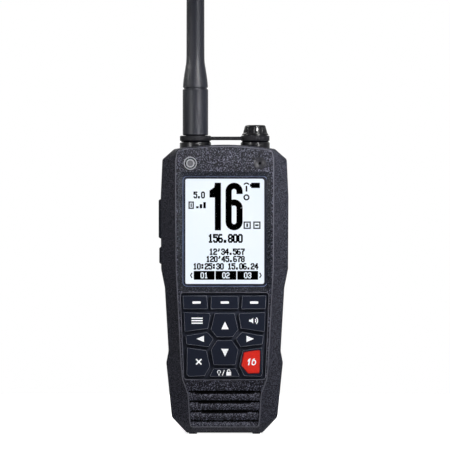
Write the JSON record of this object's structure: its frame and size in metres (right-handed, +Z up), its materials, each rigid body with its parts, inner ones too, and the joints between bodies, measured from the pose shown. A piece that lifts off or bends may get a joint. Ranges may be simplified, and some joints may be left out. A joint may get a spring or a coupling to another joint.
{
  "type": "handheld marine vhf radio",
  "caption": "Handheld marine VHF radio with a lit display, rubber keypad, speaker grille, screw-on whip antenna, tethered jack cap and a battery pack with a belt clip.",
  "frame": {"origin": "under the middle of the whole depth and width, on the plane the feet stand on", "axes": "+Z up towards the antenna's tip, -Y out of the display towards the user, +X to the viewer's right"},
  "size_m": [0.063, 0.0455, 0.3],
  "materials": {
    "housing": "fine moulded grain, charcoal",
    "pack": "fine moulded grain, charcoal",
    "key_rubber": "satin, blue black",
    "red_key": "satin red",
    "window": "clear, with a printed dark border",
    "lcd": "lit pale blue white",
    "diffuser": "white",
    "seal": "matte black",
    "circuit": "green solder mask",
    "steel": "bright",
    "gold": "plated",
    "chassis": "die cast",
    "cloth": "fine black mesh",
    "paper": "black cone",
    "antenna_rubber": "satin charcoal",
    "gloss": "polished black",
    "clip": "moulded, tough black",
    "cell": "sleeved cell",
    "patch": "sintered"
  },
  "bodies": {
    "radio": {"front_housing": "housing", "rear_housing": "housing", "housing_gasket": "seal", "housing_screws": "steel", "display_window": "window", "display_gasket": "seal", "lcd_panel": "lcd", "lcd_backlight": "diffuser", "main_board": "circuit", "key_domes": "steel", "keypad_mat": "seal", "chassis_frame": "chassis", "rf_board": "circuit", "shield_cans": "steel", "side_switches": "circuit", "gps_antenna": "patch", "battery_springs": "gold", "speaker_mesh": "cloth", "speaker_frame": "steel", "speaker_cone": "paper", "microphone": "seal", "antenna_seat": "gloss", "antenna_connector": "gold", "jack_collar": "gloss", "jack_socket": "gloss", "cap_tether": "seal", "strap_lug": "housing"},
    "left_soft_body": {"soft_key_left": "key_rubber"},
    "middle_soft_body": {"soft_key_middle": "key_rubber"},
    "right_soft_body": {"soft_key_right": "key_rubber"},
    "menu_body": {"menu_key": "key_rubber"},
    "volume_body": {"volume_key": "key_rubber"},
    "up_body": {"up_key": "key_rubber"},
    "left_body": {"left_key": "key_rubber"},
    "right_body": {"right_key": "key_rubber"},
    "down_body": {"down_key": "key_rubber"},
    "clear_body": {"clear_key": "key_rubber"},
    "channel_16_body": {"channel_16_key": "key_rubber", "channel_16_cap": "red_key"},
    "lamp_lock_body": {"lamp_lock_key": "key_rubber"},
    "power_body": {"power_button": "key_rubber"},
    "ptt_body": {"ptt_button": "key_rubber"},
    "side_key_body": {"side_key": "key_rubber"},
    "antenna_seal": {"antenna_o_ring": "seal"},
    "antenna": {"antenna_sleeve": "antenna_rubber", "antenna_core": "gold", "antenna_whip": "antenna_rubber"},
    "cap_seal": {"cap_o_ring": "seal"},
    "cap": {"jack_cap": "gloss"},
    "battery_pack": {"battery_case": "pack", "battery_lid": "pack", "battery_cells": "cell", "battery_board": "circuit", "battery_contacts": "gold", "belt_clip_pin": "steel", "belt_clip_spring": "steel"},
    "screw_seal": {"battery_screw_ring": "steel"},
    "coin_screw": {"battery_screw": "steel"},
    "clip": {"belt_clip": "clip"}
  },
  "joints": [
    {"name": "left_soft_press", "type": "slide", "parent": "radio", "child": "left_soft_body", "axis": [0, 1, 0], "range_m": [0, 0.0006], "stiffness_N_per_m": 2500, "springref_m": -0.0002},
    {"name": "middle_soft_press", "type": "slide", "parent": "radio", "child": "middle_soft_body", "axis": [0, 1, 0], "range_m": [0, 0.0006], "stiffness_N_per_m": 2500, "springref_m": -0.0002},
    {"name": "right_soft_press", "type": "slide", "parent": "radio", "child": "right_soft_body", "axis": [0, 1, 0], "range_m": [0, 0.0006], "stiffness_N_per_m": 2500, "springref_m": -0.0002},
    {"name": "menu_press", "type": "slide", "parent": "radio", "child": "menu_body", "axis": [0, 1, 0], "range_m": [0, 0.0006], "stiffness_N_per_m": 2500, "springref_m": -0.0002},
    {"name": "volume_press", "type": "slide", "parent": "radio", "child": "volume_body", "axis": [0, 1, 0], "range_m": [0, 0.0006], "stiffness_N_per_m": 2500, "springref_m": -0.0002},
    {"name": "up_press", "type": "slide", "parent": "radio", "child": "up_body", "axis": [0, 1, 0], "range_m": [0, 0.0006], "stiffness_N_per_m": 2500, "springref_m": -0.0002},
    {"name": "left_press", "type": "slide", "parent": "radio", "child": "left_body", "axis": [0, 1, 0], "range_m": [0, 0.0006], "stiffness_N_per_m": 2500, "springref_m": -0.0002},
    {"name": "right_press", "type": "slide", "parent": "radio", "child": "right_body", "axis": [0, 1, 0], "range_m": [0, 0.0006], "stiffness_N_per_m": 2500, "springref_m": -0.0002},
    {"name": "down_press", "type": "slide", "parent": "radio", "child": "down_body", "axis": [0, 1, 0], "range_m": [0, 0.0006], "stiffness_N_per_m": 2500, "springref_m": -0.0002},
    {"name": "clear_press", "type": "slide", "parent": "radio", "child": "clear_body", "axis": [0, 1, 0], "range_m": [0, 0.0006], "stiffness_N_per_m": 2500, "springref_m": -0.0002},
    {"name": "channel_16_press", "type": "slide", "parent": "radio", "child": "channel_16_body", "axis": [0, 1, 0], "range_m": [0, 0.0006], "stiffness_N_per_m": 2500, "springref_m": -0.0002},
    {"name": "lamp_lock_press", "type": "slide", "parent": "radio", "child": "lamp_lock_body", "axis": [0, 1, 0], "range_m": [0, 0.0006], "stiffness_N_per_m": 2500, "springref_m": -0.0002},
    {"name": "power_press", "type": "slide", "parent": "radio", "child": "power_body", "axis": [0, 1, 0], "range_m": [0, 0.0006], "stiffness_N_per_m": 2500, "springref_m": -0.0002},
    {"name": "ptt_press", "type": "slide", "parent": "radio", "child": "ptt_body", "axis": [1, 0, 0], "range_m": [0, 0.001], "stiffness_N_per_m": 3000, "springref_m": -0.0003},
    {"name": "side_key_press", "type": "slide", "parent": "radio", "child": "side_key_body", "axis": [1, 0, 0], "range_m": [0, 0.0008], "stiffness_N_per_m": 3000, "springref_m": -0.0003},
    {"name": "antenna_lift", "type": "slide", "parent": "radio", "child": "antenna_seal", "axis": [0, 0, 1], "range_m": [0, 0.0035]},
    {"name": "antenna_turn", "type": "hinge", "parent": "antenna_seal", "child": "antenna", "pos_m": [-0.0142, -0.0092, 0.1384], "axis": [0, 0, 1], "range_deg": [0, 1801]},
    {"name": "cap_lift", "type": "slide", "parent": "radio", "child": "cap_seal", "axis": [0, 0, 1], "range_m": [0, 0.0025], "deforming": ["cap_tether"]},
    {"name": "cap_turn", "type": "hinge", "parent": "cap_seal", "child": "cap", "pos_m": [0.0149, -0.0092, 0.1384], "axis": [0, 0, 1], "range_deg": [0, 901]},
    {"name": "battery_pull", "type": "slide", "parent": "radio", "child": "battery_pack", "axis": [0, 1, 0], "range_m": [0, 0.025]},
    {"name": "coin_screw_lift", "type": "slide", "parent": "battery_pack", "child": "screw_seal", "axis": [0, 1, 0], "range_m": [0, 0.0028]},
    {"name": "coin_screw_turn", "type": "hinge", "parent": "screw_seal", "child": "coin_screw", "pos_m": [0, 0.0125, 0.0856], "axis": [0, 1, 0], "range_deg": [0, 1441]},
    {"name": "belt_clip_hinge", "type": "hinge", "parent": "battery_pack", "child": "clip", "pos_m": [0, 0.0196, 0.072], "axis": [1, 0, 0], "range_deg": [0, 20], "stiffness_Nm_per_rad": 0.25, "springref_deg": -20.05, "deforming": ["belt_clip_spring"]}
  ],
  "couplings": [
    {"joint": "antenna_turn", "follows": "antenna_lift", "rad_per_m": 8976},
    {"joint": "cap_turn", "follows": "cap_lift", "rad_per_m": 6283.2},
    {"joint": "coin_screw_turn", "follows": "coin_screw_lift", "rad_per_m": 8976}
  ]
}
